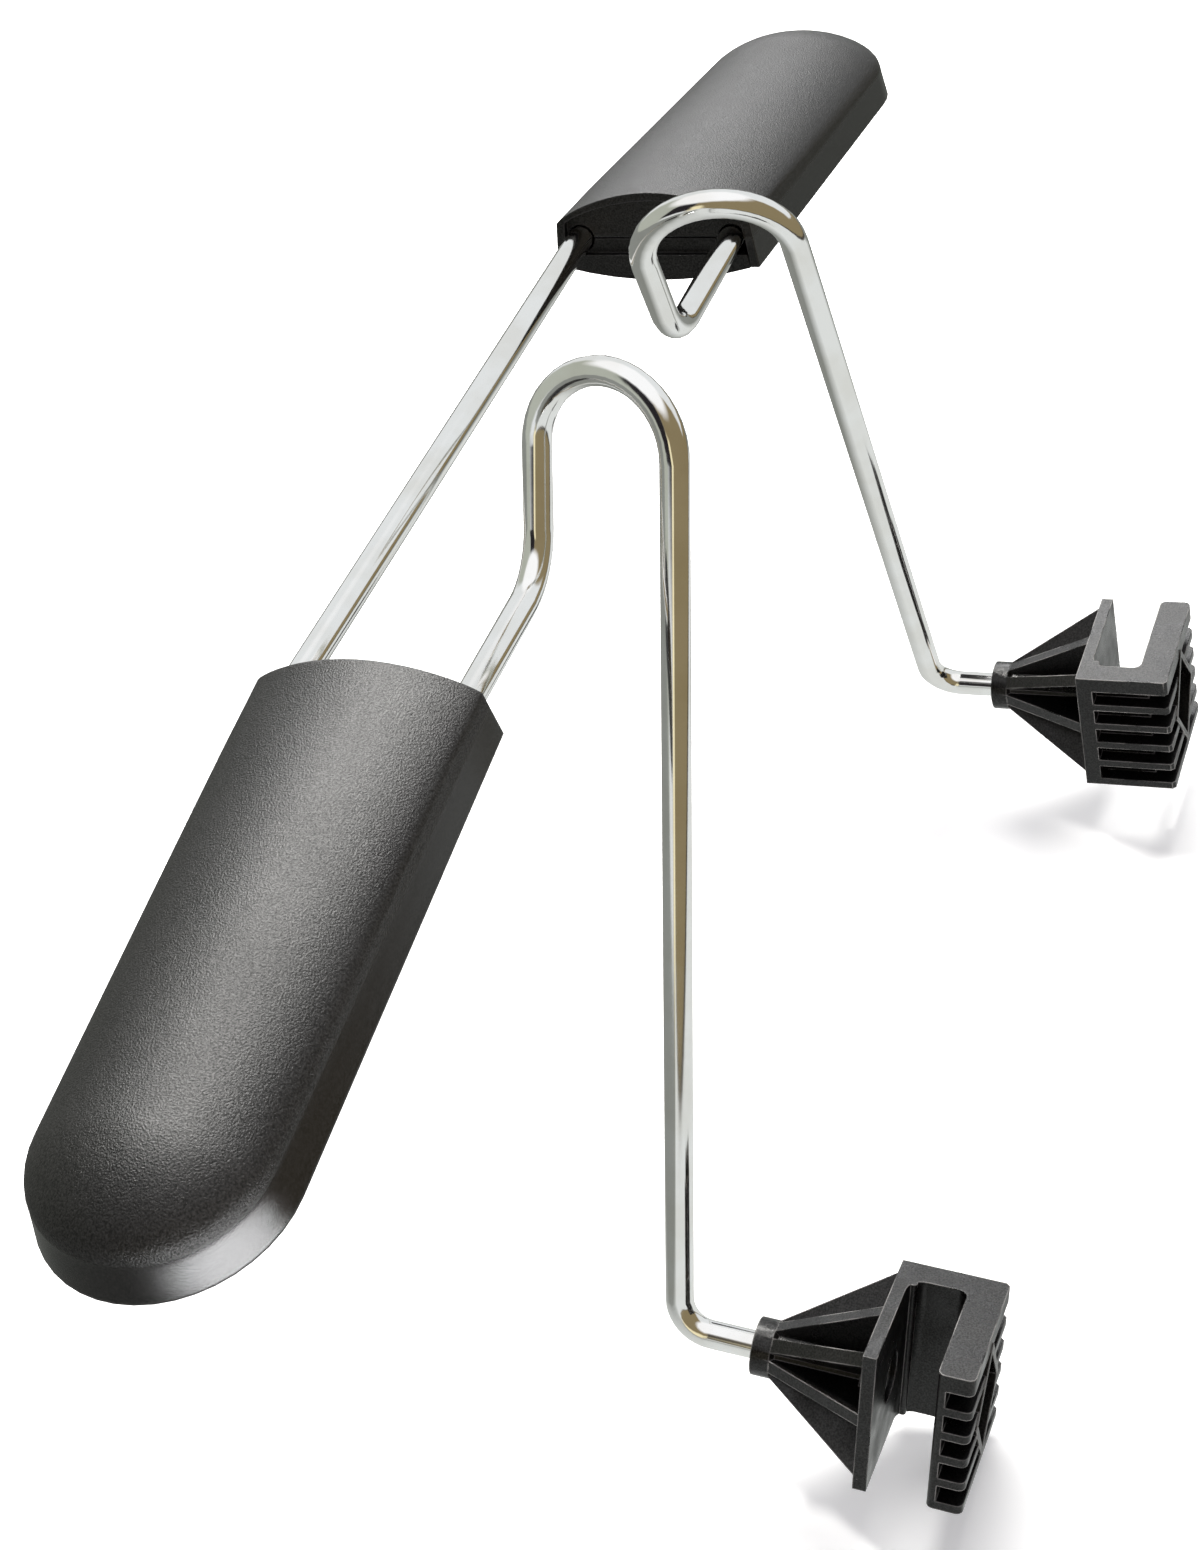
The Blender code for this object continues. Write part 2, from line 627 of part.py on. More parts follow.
def add_pockets(bm, place):
    """The hollows between the fins, open at the closed end, along the arm and at its nose."""
    strip = SLOT_START + CORE_WALL / 2
    outline = [
        (-CLIP_CLOSED_HALF - OVERRUN, strip),
        (CLOSED_FACE - CORE_WALL, strip),
        (CLOSED_FACE - CORE_WALL, SLOT_END + CORE_WALL),
        (CLIP_OPEN_HALF + OVERRUN, SLOT_END + CORE_WALL),
        (CLIP_OPEN_HALF + OVERRUN, CLIP_END + OVERRUN),
        (-CLIP_CLOSED_HALF - OVERRUN, CLIP_END + OVERRUN),
    ]
    room = 2 * CLIP_HALF_HEIGHT - TOP_PLATE - POCKETS * FIN_THICKNESS
    height = room / POCKETS
    for i in range(POCKETS):
        low = -CLIP_HALF_HEIGHT + FIN_THICKNESS + i * (height + FIN_THICKNESS)
        add_prism(bm, place, outline, low, low + height)


def add_hub(bm, place):
    """The collar, the hub round the wire end, and the boss that the washer sits in."""
    seat = WASHER_RADIUS + GAP + WASHER_SEAT_WALL
    seat_start = SLOT_START - WASHER_SEAT_DEPTH - WASHER_SEAT_WALL
    profile = [
        (COLLAR_RADIUS, 0),
        (COLLAR_RADIUS, COLLAR_LENGTH),
        (HUB_RADIUS, COLLAR_LENGTH + (COLLAR_RADIUS - HUB_RADIUS)),
        (HUB_RADIUS, seat_start),
        (seat, seat_start),
        (seat, (PLATE_START + SLOT_START) / 2),
    ]
    add_lathe(bm, facing(place), profile, HOLE_SIDES)


def add_rib(bm, place, angle, reach):
    """A flat rib through the wire's axis, from the collar to the plate."""

    def turned(radius, along, across):
        out = radius * cos(angle) - across * sin(angle)
        return place(out, along, radius * sin(angle) + across * cos(angle))

    start = COLLAR_LENGTH * RIB_START_SHARE
    end = mix(PLATE_START, SLOT_START, RIB_END_SHARE)
    near = COLLAR_RADIUS * RIB_FOOT_SHARE
    outline = [(-near, start), (near, start), (near, COLLAR_LENGTH), (reach, end), (-reach, end)]
    outline.append((-near, COLLAR_LENGTH))
    add_prism(bm, turned, outline, -RIB_THICKNESS / 2, RIB_THICKNESS / 2)


def add_clip(name, place):
    origin = place(0, 0, 0)
    body = bmesh.new()
    add_prism(body, place, hook_outline(), -CLIP_HALF_HEIGHT, CLIP_HALF_HEIGHT)
    clip = new_piece(f"{name}_clip", body, (0.02, 0.02, 0.022), 0, 0.3, origin)
    pockets = bmesh.new()
    add_pockets(pockets, place)
    combine(clip, "DIFFERENCE", f"{name}_clip_pockets", pockets)
    hub = bmesh.new()
    add_hub(hub, place)
    combine(clip, "UNION", f"{name}_clip_hub", hub)
    corner = hypot(CLIP_OPEN_HALF, CLIP_HALF_HEIGHT) - RIB_THICKNESS * RIB_CORNER_SHARE
    side_reach = CLIP_OPEN_HALF - GAP
    ribs = [(0, side_reach), (pi / 4, corner), (pi / 2, CLIP_HALF_HEIGHT - GAP), (3 * pi / 4, corner)]
    for number, (angle, reach) in enumerate(ribs, 1):
        rib = bmesh.new()
        add_rib(rib, place, angle, reach)
        combine(clip, "UNION", f"{name}_clip_rib_{number}", rib)
    rhombus = [(DIAMOND_HALF_WIDTH, 0), (0, DIAMOND_HALF_HEIGHT), (-DIAMOND_HALF_WIDTH, 0)]
    rhombus.append((0, -DIAMOND_HALF_HEIGHT))
    ring = bmesh.new()
    add_prism(ring, facing(place), rhombus, SLOT_END + CORE_WALL / 2, CLIP_END + GAP)
    combine(clip, "UNION", f"{name}_clip_diamond", ring)
    slope = DIAMOND_HALF_WIDTH * DIAMOND_HALF_HEIGHT / hypot(DIAMOND_HALF_WIDTH, DIAMOND_HALF_HEIGHT)
    shrink = 1 - DIAMOND_WALL / slope
    hole = bmesh.new()
    inner = [(a * shrink, b * shrink) for a, b in rhombus]
    add_prism(hole, facing(place), inner, SLOT_END + CORE_WALL + GAP, CLIP_END + OVERRUN)
    combine(clip, "DIFFERENCE", f"{name}_clip_diamond_hole", hole)
    bore = bmesh.new()
    seat = WASHER_RADIUS + GAP
    narrow = WIRE_RADIUS + GAP
    profile = [(narrow, -OVERRUN), (narrow, SLOT_START - WASHER_SEAT_DEPTH)]
    profile += [(seat, SLOT_START - WASHER_SEAT_DEPTH), (seat, SLOT_START + OVERRUN)]
    add_lathe(bore, facing(place), profile, HOLE_SIDES)
    combine(clip, "DIFFERENCE", f"{name}_clip_bore", bore)


def add_washer(name, place):
    """A push-on washer whose teeth bite on the wire end."""
    start = SLOT_START - WASHER_SEAT_DEPTH + GAP
    disc = bmesh.new()
    add_prism(disc, facing(place), circle(WASHER_RADIUS, HOLE_SIDES), start, start + WASHER_THICKNESS)
    washer = new_piece(f"{name}_retaining_washer", disc, (0.5, 0.5, 0.52), 1, 0.35)
    tip = WIRE_RADIUS + GAP / 3
    root = tip + WASHER_TOOTH_SPAN
    notch = [(0, tip), (WASHER_TOOTH_SHARE, tip), (WASHER_NOTCH_START_SHARE, root), (WASHER_NOTCH_END_SHARE, root)]
    star = []
    for i in range(WASHER_TEETH):
        for share, radius in notch:
            angle = 2 * pi * (i + share) / WASHER_TEETH
            star.append((radius * cos(angle), radius * sin(angle)))
    hole = bmesh.new()
    add_prism(hole, facing(place), star, start - OVERRUN, start + WASHER_THICKNESS + OVERRUN)
    combine(washer, "DIFFERENCE", f"{name}_washer_hole", hole)


add_wire_frame()
clip_places = {
    "near": on_clip(SIDES["near"], NEAR_CLIP_TURN, NEAR_FOOT_PITCH),
    "far": on_clip(SIDES["far"], FAR_CLIP_TURN, FAR_FOOT_PITCH),
}
for label, direction in SIDES.items():
    add_cover(label, direction)
    add_base(label, direction)
    add_screws(label, direction)
    add_clip(label, clip_places[label])
    add_washer(label, clip_places[label])
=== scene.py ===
"""The looks of the car headrest hanger: materials, light, floor and the photograph's camera."""

from math import atan2, cos, hypot, radians, sin

import bpy
from mathutils import Matrix, Vector


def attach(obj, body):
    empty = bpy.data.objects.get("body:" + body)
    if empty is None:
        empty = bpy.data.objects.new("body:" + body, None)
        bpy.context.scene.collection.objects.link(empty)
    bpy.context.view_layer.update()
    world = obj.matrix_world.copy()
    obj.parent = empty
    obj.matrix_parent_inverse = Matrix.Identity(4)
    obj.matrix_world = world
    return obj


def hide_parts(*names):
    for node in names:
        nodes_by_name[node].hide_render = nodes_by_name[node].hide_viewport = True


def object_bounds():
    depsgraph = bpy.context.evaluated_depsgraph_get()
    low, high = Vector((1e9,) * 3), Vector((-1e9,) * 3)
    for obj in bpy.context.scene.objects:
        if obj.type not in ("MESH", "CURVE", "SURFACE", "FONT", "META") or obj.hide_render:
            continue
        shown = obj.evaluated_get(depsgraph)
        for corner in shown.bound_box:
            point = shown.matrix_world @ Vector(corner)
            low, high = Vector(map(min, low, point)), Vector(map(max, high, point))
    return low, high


# The photograph's camera, in the row frame
CAMERA_PLACE = Vector((0.4633, 0.150419, 0.465864))
CAMERA_AZIMUTH = radians(28.04)
CAMERA_ELEVATION = radians(38.0)
CAMERA_ROLL = radians(-14.11)
FOCAL_SHARE = 2900 / 1550  # focal length as a share of the picture's height
SENSOR_MM = 36
CLIP_START = 0.01

# Shading of the meshes
SHARP_ANGLE = radians(32)
WELD_DISTANCE = 0.000002

# The two shoulders. Each droops from the plane of the rods, and heights on it are counted from there.
SIDES = (("near", 1), ("far", -1))  # with each one's direction along X
RODS_PLACE = Vector((0, -0.094076, 0.145742))
SHOULDER_OFFSET = 0.0853
SHOULDER_DROOP = radians(7.7)
TIP_CENTRE = 0.1055  # from a shoulder's inner end to the middle of its rounded tip

# The covers' outer rows, as the CAD has them
RIM = (0.025, -0.0066)  # half width and height of the lowest row
CROWN_HEIGHT = 0.0116
CROWN_POWER = 1.9
INNER_HALF = 0.0237  # the crown's foot at the inner end: half width, height, and how steeply it falls there
INNER_FOOT = 0.0042
INNER_FALL = 1.2
CAD_HALF = 0.0213  # the same at the tip
CAD_FOOT = 0.0018
CAD_FALL = 1.9
CAD_FLARE = 1.6  # of the skirt at the tip, which is straight at the inner end
CHANGE_POWER = 0.45  # of the way to the tip, as the section changes along it
CROWN_ROWS = 11
SKIRT_ROWS = 5
ROW_TOLERANCE = 0.00005  # from a row to a point of the CAD's mesh that lies on it

# The photograph's form of them: a sharper valley, and a brim wide on one side and slight on the other
WIDE_BRIM_HALF = 0.0225
SLIGHT_BRIM_HALF = 0.0239
BRIM_FOOT = 0.0004
BRIM_FALL = 1.45
BRIM_ROWS = SKIRT_ROWS - 1
VALLEY_DROP = 0.0016  # from the crown's edge to the top of the brim
VALLEY_INSET = 0.0004
VALLEY_REACH = 0.0008  # down the brim, where the valley's curve ends
VALLEY_MIDDLE = (1 / 3, 0.6)  # what is left of the inset and the drop at the valley's middle row
VALLEY_FLOOR = 1 / 3  # of the reach, from the brim's corner up to the valley's lowest row
BRIM_TURN = radians(100)  # around the tip, from the slight side to the wide one
FORMED_FROM = 1 / 6  # of the way to the tip, where the whole change is reached

# Black plastics
PLASTIC_BLACK = (0.004, 0.0036, 0.0036)
SPECKLE_SHARES = (0.35, 2.2)  # of the black, in the darkest and the lightest speckles
SPECKLE_STOPS = (0.36, 0.64)
PLASTIC_SHEEN = (0.28, 0.52)
GRAIN_STRENGTH = 0.8
DULL_WEAR = (0.03, 0.029, 0.029)
PALE_WEAR = (0.3, 0.29, 0.28)
WEAR_STOPS = [(0.38, (0, 0, 0)), (0.55, (1, 1, 1))]
WEAR_LIKENESS = (0.9995, 0.95)  # of the rounded normal to the surface's own, from a face to a worn edge
BEVEL_SAMPLES = 6
BRIM_ROUGHNESS = 0.24
BRIM_SHEEN = 0.52
BRIM_GRAIN_STRENGTH = 0.12
BRIM_EDGE = 0.0008  # over which the brim's gloss fades in

# Metals
CHROME_TINTS = [(0.35, (0.88, 0.87, 0.85)), (0.6, (0.95, 0.95, 0.95))]
CHROME_ROUGHNESS = (0.07, 0.13)
STEEL_SHADE = 0.8  # of the colour, in the darker patches
STEEL_STOPS = (0.3, 0.7)
STEEL_ROUGHNESS_SPREAD = 0.15

NOISE_MIDDLE = (0.35, 0.65)  # a noise's values mostly lie in between

# The floor, and the light that dull surfaces get from the room
FLOOR_DROP = 0.004  # below the object's lowest point
FLOOR_SIZE = 8
FLOOR_COLOUR = (0.9, 0.9, 0.9)
FLOOR_ROUGHNESS = 0.9
FLOOR_SHEEN = 0.1
FLOOR_GLOW = 0.35
WHITE = (1.0, 1.0, 1.0)
DIFFUSE_LIGHT = (0.3, 0.29, 0.31)

# What shiny pieces see below: a pale table that ends at TABLE_EDGE metres along +Y, and a warm room beyond.
# The table is dim away from the headrest and past the far shoulder, beyond these places along Y and X.
TABLE = (0.74, 0.76, 0.74)
DIM_TABLE = (0.25, 0.26, 0.24)
DIM_TABLE_ENDS = {"Y": -0.17, "X": -0.37}
DIM_TABLE_FADE = 0.12
TABLE_EDGE = 0.22
TABLE_EDGE_COLOUR = (0.05, 0.045, 0.04)
TABLE_EDGE_WIDTH = 0.04
TABLE_EDGE_FADE = TABLE_EDGE_WIDTH / 3

# What shiny pieces see around: a pale room, and over it one after the other a cool wall, a warm wall, a
# dark doorway, a glow and the ceiling. Each has a colour, azimuths in radians about +Z from +X, and heights
# as the sine of the elevation, both with the width over which they fade.
PALE_ROOM = (0.78, 0.8, 0.8)
WARM_WALL = (0.25, 0.2, 0.11)
ROOM = [
    ((0.44, 0.46, 0.4), (-2.1, -0.75, 0.2), None),
    (WARM_WALL, (-0.1, 2.0, 0.15), None),
    ((0.02, 0.018, 0.02), (-0.72, -0.16, 0.06), (0.14, 0.72, 0.05)),
    ((0.95, 0.85, 0.55), (-0.12, 0.02, 0.06), (-0.05, 0.35, 0.1)),
    (WHITE, None, (0.8, 2, 0.15)),
]

# Lamps: azimuth and elevation in degrees, distance, width and height in metres, power in watts, and colour
LAMP_AIM = Vector((0.06, -0.06, 0.12))
LAMPS = {
    "broad_key": (-172, 55, 1.5, 1.1, 0.65, 30, (1, 0.99, 0.96)),
    "overhead": (-131, 66, 1.5, 0.2, 0.2, 20, (1, 0.98, 0.94)),
    "back_window": (-157, 25, 1.5, 1.1, 0.45, 7.5, (0.99, 0.99, 1)),
    "low_card": (44, -11.5, 0.5, 0.95, 0.08, 4.5, (0.98, 0.99, 1)),
}
NEAR_COVERS_LAMP = "low_card"  # lights the near cover alone, while the others leave out the wire


def new_material(name):
    """An empty material with its nodes, its links and its Principled shader."""
    material = bpy.data.materials.new(name)
    material.use_nodes = True
    nodes = material.node_tree.nodes
    return material, nodes, material.node_tree.links, nodes["Principled BSDF"]


def noise(nodes, links, scale, detail):
    """Noise in the piece's own coordinates, which are the row frame's metres."""
    place = nodes.new("ShaderNodeTexCoord")
    texture = nodes.new("ShaderNodeTexNoise")
    texture.inputs["Scale"].default_value = scale
    texture.inputs["Detail"].default_value = detail
    links.new(place.outputs["Object"], texture.inputs["Vector"])
    return texture.outputs["Fac"]


def ramp(nodes, links, source, stops):
    """A colour ramp with (place, colour) stops."""
    node = nodes.new("ShaderNodeValToRGB")
    elements = node.color_ramp.elements
    while len(elements) < len(stops):
        elements.new(0.5)
    for element, (place, colour) in zip(elements, stops):
        element.position = place
        element.color = (*colour, 1)
    links.new(source, node.inputs["Fac"])
    return node.outputs["Color"]


def spread(nodes, links, source, low, high):
    """A value that runs from low to high as the source runs from 0 to 1."""
    node = nodes.new("ShaderNodeMapRange")
    node.inputs["To Min"].default_value = low
    node.inputs["To Max"].default_value = high
    links.new(source, node.inputs["Value"])
    return node.outputs["Result"]


def risen(nodes, links, source, start, end):
    """A value that runs from 0 to 1 as the source runs from start to end, either way, and stops there."""
    node = nodes.new("ShaderNodeMapRange")
    node.inputs["From Min"].default_value = start
    node.inputs["From Max"].default_value = end
    links.new(source, node.inputs["Value"])
    return node.outputs["Result"]


def both(nodes, links, first, second):
    node = nodes.new("ShaderNodeMath")
    node.operation = "MULTIPLY"
    links.new(first, node.inputs[0])
    links.new(second, node.inputs[1])
    return node.outputs["Value"]


def within(nodes, links, source, start, end, fade):
    """1 where the source lies between start and end, falling to 0 over the fade on both sides."""
    rising = risen(nodes, links, source, start - fade, start)
    falling = risen(nodes, links, source, end + fade, end)
    return both(nodes, links, rising, falling)


def blended(nodes, links, factor, first, second):
    """Mixes two colours, each a plain colour or another node's output."""
    node = nodes.new("ShaderNodeMix")
    node.data_type = "RGBA"
    links.new(factor, node.inputs["Factor"])
    for socket, colour in (("A", first), ("B", second)):
        if isinstance(colour, tuple):
            node.inputs[socket].default_value = (*colour, 1)
        else:
            links.new(colour, node.inputs[socket])
    return node.outputs["Result"]


def bump(nodes, links, source, depth, strength, after=None):
    node = nodes.new("ShaderNodeBump")
    node.inputs["Strength"].default_value = strength
    node.inputs["Distance"].default_value = depth
    links.new(source, node.inputs["Height"])
    if after:
        links.new(after, node.inputs["Normal"])
    return node.outputs["Normal"]


def softened(nodes, radius):
    """Normals that round the piece's edges."""
    node = nodes.new("ShaderNodeBevel")
    node.samples = BEVEL_SAMPLES
    node.inputs["Radius"].default_value = radius
    return node.outputs["Normal"]


def edges_of(nodes, links, rounded):
    """About 1 on the piece's edges, where the rounded normals leave the surface's, and 0 on its faces."""
    surface = nodes.new("ShaderNodeNewGeometry")
    likeness = nodes.new("ShaderNodeVectorMath")
    likeness.operation = "DOT_PRODUCT"
    links.new(surface.outputs["Normal"], likeness.inputs[0])
    links.new(rounded, likeness.inputs[1])
    return risen(nodes, links, likeness.outputs["Value"], *WEAR_LIKENESS)


def chrome():
    """Bright plating with faint grime, on wire that isn't quite even."""
    material, nodes, links, shader = new_material("chromed_wire")
    shader.inputs["Metallic"].default_value = 1
    grime = noise(nodes, links, scale=90, detail=4)
    links.new(ramp(nodes, links, grime, CHROME_TINTS), shader.inputs["Base Color"])
    links.new(spread(nodes, links, grime, *CHROME_ROUGHNESS), shader.inputs["Roughness"])
    ripple = noise(nodes, links, scale=260, detail=2)
    links.new(bump(nodes, links, ripple, depth=0.00002, strength=0.2), shader.inputs["Normal"])
    return material


def plated_steel(name, colour, roughness):
    material, nodes, links, shader = new_material(name)
    shader.inputs["Metallic"].default_value = 1
    cloud = noise(nodes, links, scale=700, detail=3)
    darker = tuple(value * STEEL_SHADE for value in colour)
    tint = ramp(nodes, links, cloud, list(zip(STEEL_STOPS, (darker, colour))))
    links.new(tint, shader.inputs["Base Color"])
    rough = spread(nodes, links, cloud, roughness, roughness + STEEL_ROUGHNESS_SPREAD)
    links.new(rough, shader.inputs["Roughness"])
    return material


def moulded_plastic(name, roughness, grain, edge, wear, patches):
    """Black moulded plastic: speckled grain, patches of more and less gloss, and soft, slightly worn edges.

    Grain is the depth of its bumps and edge the radius of its edges, both in metres. Wear is the colour of a
    worn edge, and patches the scale of the noise behind the patches.
    """
    material, nodes, links, shader = new_material(name)
    cloud = noise(nodes, links, scale=patches, detail=4)
    speckle = noise(nodes, links, scale=2600, detail=4)
    even_speckle = risen(nodes, links, speckle, *NOISE_MIDDLE)
    links.new(spread(nodes, links, even_speckle, *PLASTIC_SHEEN), shader.inputs["Specular IOR Level"])
    shades = [tuple(value * share for value in PLASTIC_BLACK) for share in SPECKLE_SHARES]
    grains = ramp(nodes, links, speckle, list(zip(SPECKLE_STOPS, shades)))
    rounded = softened(nodes, edge)
    rubbed = both(nodes, links, edges_of(nodes, links, rounded), ramp(nodes, links, cloud, WEAR_STOPS))
    links.new(blended(nodes, links, rubbed, grains, wear), shader.inputs["Base Color"])
    even_cloud = risen(nodes, links, cloud, *NOISE_MIDDLE)
    links.new(spread(nodes, links, even_cloud, *roughness), shader.inputs["Roughness"])
    links.new(bump(nodes, links, speckle, grain, GRAIN_STRENGTH, rounded), shader.inputs["Normal"])
    return material


def polish_brims(material):
    """Makes a cover smoother below its crown's foot, on both shoulders, which droop alike to either side."""
    nodes, links = material.node_tree.nodes, material.node_tree.links
    place = nodes.new("ShaderNodeTexCoord")
    either_side = nodes.new("ShaderNodeVectorMath")
    either_side.operation = "ABSOLUTE"
    links.new(place.outputs["Object"], either_side.inputs[0])
    height = nodes.new("ShaderNodeVectorMath")
    height.operation = "DOT_PRODUCT"
    height.inputs[1].default_value = (sin(SHOULDER_DROOP), 0, cos(SHOULDER_DROOP))
    links.new(either_side.outputs["Vector"], height.inputs[0])
    foot = BRIM_FOOT + SHOULDER_OFFSET * sin(SHOULDER_DROOP) + RODS_PLACE.z * cos(SHOULDER_DROOP)
    below = risen(nodes, links, height.outputs["Value"], foot + BRIM_EDGE, foot)
    for name, value in (("Roughness", BRIM_ROUGHNESS), ("Specular IOR Level", BRIM_SHEEN)):
        socket = nodes["Principled BSDF"].inputs[name]
        choice = nodes.new("ShaderNodeMix")
        choice.inputs["B"].default_value = value
        links.new(below, choice.inputs["Factor"])
        links.new(socket.links[0].from_socket, choice.inputs["A"])
        links.new(choice.outputs["Result"], socket)
    grain = spread(nodes, links, below, GRAIN_STRENGTH, BRIM_GRAIN_STRENGTH)
    links.new(grain, nodes["Bump"].inputs["Strength"])


def smoothing_group():
    """A modifier's node group that shades a welded mesh smooth, apart from its sharp edges."""
    group = bpy.data.node_groups.new("smooth_by_angle", "GeometryNodeTree")
    group.interface.new_socket("Geometry", in_out="INPUT", socket_type="NodeSocketGeometry")
    group.interface.new_socket("Geometry", in_out="OUTPUT", socket_type="NodeSocketGeometry")
    nodes, links = group.nodes, group.links
    start = nodes.new("NodeGroupInput")
    end = nodes.new("NodeGroupOutput")
    round_faces = nodes.new("GeometryNodeSetShadeSmooth")
    round_faces.domain = "FACE"
    angle = nodes.new("GeometryNodeInputMeshEdgeAngle")
    sharp = nodes.new("FunctionNodeCompare")
    sharp.operation = "GREATER_THAN"
    sharp.inputs[1].default_value = SHARP_ANGLE
    creases = nodes.new("GeometryNodeSetShadeSmooth")
    creases.domain = "EDGE"
    creases.inputs["Shade Smooth"].default_value = False
    links.new(start.outputs[0], round_faces.inputs["Geometry"])
    links.new(round_faces.outputs[0], creases.inputs["Geometry"])
    links.new(angle.outputs["Unsigned Angle"], sharp.inputs[0])
    links.new(sharp.outputs[0], creases.inputs["Selection"])
    links.new(creases.outputs[0], end.inputs[0])
    return group


def dress(node, material, smoothing):
    """Gives a node its material and shades it smooth, with modifiers alone."""
    node.data.materials.clear()
    node.data.materials.append(material)
    weld = node.modifiers.new("weld", "WELD")
    weld.merge_threshold = WELD_DISTANCE
    node.modifiers.new("smooth", "NODES").node_group = smoothing
    weighted = node.modifiers.new("weighted", "WEIGHTED_NORMAL")
    weighted.keep_sharp = True


def mixed(first, second, share):
    return first + (second - first) * share


def clamped(value):
    return min(max(value, 0), 1)


def eased(share):
    """The share with a soft start and end."""
    return share * share * (3 - 2 * share)


def crown_rows(half, foot, fall):
    """The crown's rows from its ridge down to its foot, without the foot, as (half width, height)."""
    rows = []
    for i in range(CROWN_ROWS):
        way = sin(radians(90) * i / CROWN_ROWS)
        rows.append((half * way, foot + (CROWN_HEIGHT - foot) * (1 - way**CROWN_POWER) ** (1 / fall)))
    return rows


def cad_rows(share):
    """The outer rows of the CAD's cover, at a share of the way to its tip."""
    half = mixed(INNER_HALF, CAD_HALF, share)
    foot = mixed(INNER_FOOT, CAD_FOOT, share)
    change = share**CHANGE_POWER
    rows = crown_rows(half, foot, mixed(INNER_FALL, CAD_FALL, change))
    flare = mixed(1, CAD_FLARE, change)
    for i in range(SKIRT_ROWS + 1):
        way = i / SKIRT_ROWS
        rows.append((mixed(half, RIM[0], way**flare), mixed(foot, RIM[1], way)))
    return rows


def formed_rows(share, wide):
    """The same rows with the photograph's valley and brim. Wide is 1 on the wide side and 0 opposite."""
    half = mixed(INNER_HALF, mixed(SLIGHT_BRIM_HALF, WIDE_BRIM_HALF, wide), share)
    foot = mixed(INNER_FOOT, BRIM_FOOT, share)
    change = share**CHANGE_POWER
    drop = VALLEY_DROP * change
    inset = VALLEY_INSET * change
    rows = crown_rows(half - inset, foot + drop, mixed(INNER_FALL, BRIM_FALL, change))
    rows.append((half - inset * VALLEY_MIDDLE[0], foot + drop * VALLEY_MIDDLE[1]))
    rows.append((half, foot + VALLEY_REACH * VALLEY_FLOOR))
    corner = Vector((half, foot))
    rim = Vector(RIM)
    end = corner + (rim - corner).normalized() * VALLEY_REACH
    rows += [tuple(end.lerp(rim, i / (BRIM_ROWS - 1))) for i in range(BRIM_ROWS)]
    return rows


def shoulder_place(point, side):
    """A point of the row frame as (out from the inner end, across, high) on a drooping shoulder."""
    ahead = side * point.x - SHOULDER_OFFSET
    above = point.z - RODS_PLACE.z
    out = ahead * cos(SHOULDER_DROOP) - above * sin(SHOULDER_DROOP)
    high = ahead * sin(SHOULDER_DROOP) + above * cos(SHOULDER_DROOP)
    return out, point.y - RODS_PLACE.y, high


def frame_place(out, across, high, side):
    """The point of the row frame that shoulder_place describes."""
    along = SHOULDER_OFFSET + out * cos(SHOULDER_DROOP) + high * sin(SHOULDER_DROOP)
    above = high * cos(SHOULDER_DROOP) - out * sin(SHOULDER_DROOP)
    return side * along, RODS_PLACE.y + across, RODS_PLACE.z + above


def formed_place(out, across, high, side):
    """Where a point of the CAD's cover goes in the photograph's form, or None off the outer rows."""
    past = max(out - TIP_CENTRE, 0)
    radius = hypot(past, across)
    share = clamped(out / TIP_CENTRE)
    rows = cad_rows(share)
    found = [i for i, row in enumerate(rows) if hypot(radius - row[0], high - row[1]) < ROW_TOLERANCE]
    if not found or radius < ROW_TOLERANCE:
        return None
    turn = clamped((atan2(side * across, past) + radians(90)) / BRIM_TURN)
    half, height = formed_rows(share, eased(turn))[found[0]]
    amount = min(share / FORMED_FROM, 1)
    growth = mixed(radius, half, amount) / radius
    return out + past * (growth - 1), across * growth, mixed(high, height, amount)


def formed_cover(name, node, side):
    """A copy of the CAD's cover with its outer rows formed anew. The wide brims lie on opposite sides."""
    piece = bpy.data.objects.new(f"{name}_formed", node.data.copy())
    bpy.context.scene.collection.objects.link(piece)
    for vertex in piece.data.vertices:
        goal = formed_place(*shoulder_place(vertex.co, side), side)
        if goal:
            vertex.co = frame_place(*goal, side)
    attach(piece, "frame")
    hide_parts(name)
    return piece


def table_colour(nodes, links):
    """What shiny pieces see of the floor at each place."""
    place = nodes.new("ShaderNodeTexCoord")
    split = nodes.new("ShaderNodeSeparateXYZ")
    links.new(place.outputs["Object"], split.inputs["Vector"])
    seen = TABLE
    for axis, end in DIM_TABLE_ENDS.items():
        dim = within(nodes, links, split.outputs[axis], -FLOOR_SIZE, end, DIM_TABLE_FADE)
        seen = blended(nodes, links, dim, seen, DIM_TABLE)
    for colour, end in ((WARM_WALL, FLOOR_SIZE), (TABLE_EDGE_COLOUR, TABLE_EDGE + TABLE_EDGE_WIDTH)):
        beyond = within(nodes, links, split.outputs["Y"], TABLE_EDGE, end, TABLE_EDGE_FADE)
        seen = blended(nodes, links, beyond, seen, colour)
    return seen


